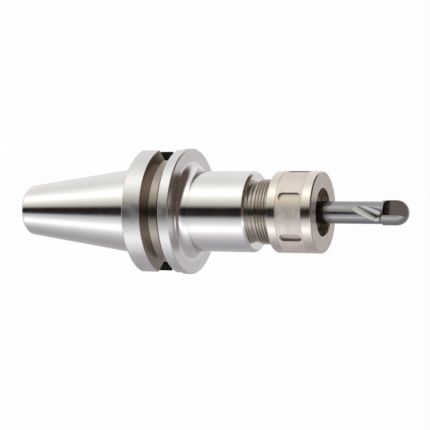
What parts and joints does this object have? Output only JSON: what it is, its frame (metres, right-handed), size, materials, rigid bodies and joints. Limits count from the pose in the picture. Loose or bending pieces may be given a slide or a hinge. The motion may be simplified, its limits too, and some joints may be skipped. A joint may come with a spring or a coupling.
{
  "type": "collet chuck holder",
  "caption": "Steep-taper spindle tool holder with a grooved flange, a slit collet, a ball-bearing clamping nut with spanner slots and a ball-nose end mill.",
  "frame": {"origin": "centre of the taper's small end face, on which the holder stands", "axes": "+Z along the spindle axis from the small end to the cutter's tip; +X through the middle of one drive-key slot; the other slot is at -X"},
  "size_m": [0.063, 0.063, 0.2031],
  "materials": {
    "holder_steel": "cylindrically ground case-hardened steel, bright",
    "nut_steel": "ground and lightly blasted belt, warm satin",
    "collet_steel": "ground spring steel",
    "bearing_steel": "polished bearing steel",
    "ring_steel": "ground hardened steel",
    "spring_steel": "blued spring wire",
    "carbide": "ground solid carbide with a thin dark grey coating"
  },
  "bodies": {
    "holder": {"holder_body": "holder_steel"},
    "collet_unit": {"collet": "collet_steel", "thrust_ring": "ring_steel"},
    "nut": {"clamping_nut": "nut_steel", "snap_ring": "spring_steel"},
    "ball_row": {"bearing_ball_01": "bearing_steel", "bearing_ball_02": "bearing_steel", "bearing_ball_03": "bearing_steel", "bearing_ball_04": "bearing_steel", "bearing_ball_05": "bearing_steel", "bearing_ball_06": "bearing_steel", "bearing_ball_07": "bearing_steel", "bearing_ball_08": "bearing_steel", "bearing_ball_09": "bearing_steel", "bearing_ball_10": "bearing_steel", "bearing_ball_11": "bearing_steel", "bearing_ball_12": "bearing_steel", "bearing_ball_13": "bearing_steel", "bearing_ball_14": "bearing_steel", "bearing_ball_15": "bearing_steel", "bearing_ball_16": "bearing_steel", "bearing_ball_17": "bearing_steel", "bearing_ball_18": "bearing_steel", "bearing_ball_19": "bearing_steel", "bearing_ball_20": "bearing_steel", "bearing_ball_21": "bearing_steel", "bearing_ball_22": "bearing_steel", "bearing_ball_23": "bearing_steel", "bearing_ball_24": "bearing_steel"},
    "cutter": {"ball_nose_cutter": "carbide"}
  },
  "joints": [
    {"name": "nut_advance", "type": "slide", "parent": "holder", "child": "collet_unit", "axis": [0, 0, 1], "range_m": [0, 0.0075]},
    {"name": "nut_turn", "type": "hinge", "parent": "collet_unit", "child": "nut", "pos_m": [0, 0, 0.1494], "axis": [0, 0, 1], "range_deg": [0, 1800]},
    {"name": "ball_row_turn", "type": "hinge", "parent": "collet_unit", "child": "ball_row", "pos_m": [0, 0, 0.1577], "axis": [0, 0, 1], "range_deg": [0, 900]},
    {"name": "cutter_slide", "type": "slide", "parent": "collet_unit", "child": "cutter", "axis": [0, 0, 1], "range_m": [0, 0.025]}
  ],
  "couplings": [
    {"joint": "nut_turn", "follows": "nut_advance", "rad_per_m": 4188.8},
    {"joint": "ball_row_turn", "follows": "nut_advance", "rad_per_m": 2094.4}
  ]
}
